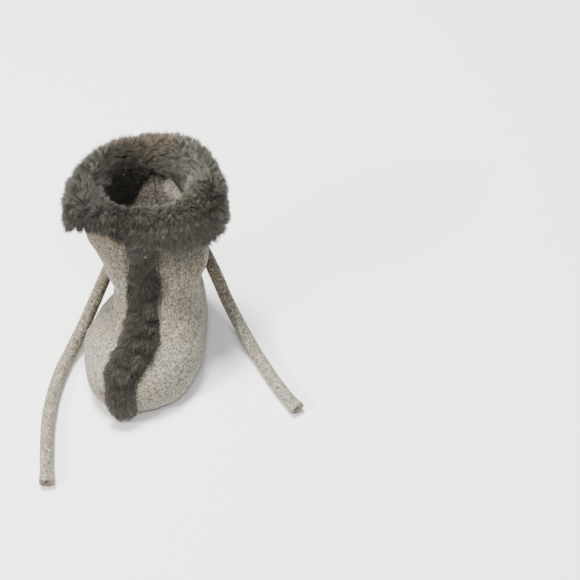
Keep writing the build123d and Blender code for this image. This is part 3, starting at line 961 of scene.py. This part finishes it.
def strip_pile():
    count = 29500
    roots, ups, row, column = scatter(strip_face, strip_normals, count, 19)
    order = np.argsort(row)
    roots, ups, row, column = roots[order], ups[order], row[order], column[order]
    down_field = np.gradient(strip_face, axis=0)
    side_field = np.gradient(strip_face, axis=1)
    r = np.clip(row.astype(int), 0, strip_face.shape[0] - 1)
    c = np.clip(column.astype(int), 0, strip_face.shape[1] - 1)
    down, side = unit(down_field[r, c]), unit(side_field[r, c])
    across = (column / (strip_face.shape[1] - 1) - 0.5) * 2
    spread = np.interp(row, [0, 68, 104, 160], [0.5, 0.6, 1.0, 0.9])
    flow = down + side * (across * spread)[:, None] + swirl(roots, 5.0, 9.0) * 0.75
    lift = 0.74 - 0.2 * np.abs(across) + rng.normal(0, 0.10, count)
    ragged = 1 + 0.45 * swirl(roots, 3.2, 4.0)[:, 0]
    lengths = (7.4 - 1.9 * np.abs(across)) * rng.uniform(0.72, 1.08, count) * np.clip(ragged, 0.6, 1.4)
    lengths = np.where(np.abs(across) > 0.6, lengths * 0.74, lengths)
    near_toe = np.clip((roots[:, 2] - 2.0) / 6.0, 0.55, 1.0)
    lengths = lengths * near_toe
    warm_tint_and_bounce = (rng.random(count) < 0.03) | ((roots[:, 2] < 7) & (rng.random(count) < 0.3))
    tone = np.interp(roots[:, 2], [5, 22, 40], [3.2, 2.7, 2.2])
    return hair("strip_pile", roots, ups, flow, lengths, lift, 3.6, tone, 6, warm_tint_and_bounce)


cuff_tips = cuff_pile()
strip_tips = strip_pile()


def glitter():
    """A few tiny bright flakes caught in the pile."""
    rng = np.random.default_rng(23)
    tips = np.concatenate([
        cuff_tips[rng.choice(len(cuff_tips), 230, replace=False)],
        strip_tips[rng.choice(len(strip_tips), 40, replace=False)],
    ])
    shape = np.array([(1, 0, 0), (-1, 0, 0), (0, 1, 0), (0, -1, 0), (0, 0, 0.4), (0, 0, -0.4)])
    octa = [(0, 2, 4), (2, 1, 4), (1, 3, 4), (3, 0, 4), (2, 0, 5), (1, 2, 5), (3, 1, 5), (0, 3, 5)]
    points, faces = [], []
    for tip in tips:
        axes = np.linalg.qr(rng.normal(size=(3, 3)))[0]
        start = len(points)
        points.extend(tip + (shape * rng.uniform(0.10, 0.20)) @ axes)
        faces.extend(tuple(start + v for v in f) for f in octa)
    return make_piece("fur_glitter", np.array(points), faces, glitter_mat, smooth=False)


glitter()


# ---------------------------------------------------------------- floor and light
def floor_material():
    mat, tree, shader = material("floor")
    coords = tree.nodes.new("ShaderNodeTexCoord").outputs["Object"]
    cloudy = noise_node(tree, coords, 3.0, 2.0)
    colour = ramp(tree, cloudy, [(0.3, (0.90, 0.90, 0.895)), (0.7, (0.92, 0.92, 0.915))])
    tree.links.new(colour, shader.inputs["Base Color"])
    shader.inputs["Roughness"].default_value = 0.9
    return mat


half = 1.6
floor_mesh = bpy.data.meshes.new("floor")
floor_mesh.from_pydata(
    [(-half, -half, 0), (half, -half, 0), (half, half, 0), (-half, half, 0)], [], [(0, 1, 2, 3)])
floor_mesh.materials.append(floor_material())
floor = bpy.data.objects.new("floor", floor_mesh)
floor.location = (0, 0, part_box("outsole")[0][2])
bpy.context.scene.collection.objects.link(floor)


def area_light(name, toward, distance, size, power, colour):
    data = bpy.data.lights.new(name, "AREA")
    data.size = size
    data.energy = power
    data.color = colour
    lamp = bpy.data.objects.new(name, data)
    target = Vector(world([0.0, 5.0, 45.0]))
    direction = Vector(toward).normalized()
    lamp.location = target + direction * distance
    lamp.rotation_euler = direction.to_track_quat("Z", "Y").to_euler()
    bpy.context.scene.collection.objects.link(lamp)
    return lamp


area_light("key", (-0.70, -0.46, 0.55), 1.3, 0.16, 22.0, (1.0, 0.965, 0.91))
area_light("top", (-0.12, 0.22, 0.97), 1.4, 0.45, 66.0, (1.0, 0.99, 0.97))
area_light("front", (0.08, -0.55, 0.83), 1.4, 0.4, 11.0, (1.0, 0.98, 0.96))
area_light("fill", (0.9, -0.2, 0.7), 1.6, 1.4, 0.8, (0.84, 0.91, 1.0))

sky = bpy.data.worlds.new("studio")
sky.use_nodes = True
sky.node_tree.nodes["Background"].inputs["Color"].default_value = (0.86, 0.91, 1.0, 1.0)
sky.node_tree.nodes["Background"].inputs["Strength"].default_value = 0.24
bpy.context.scene.world = sky
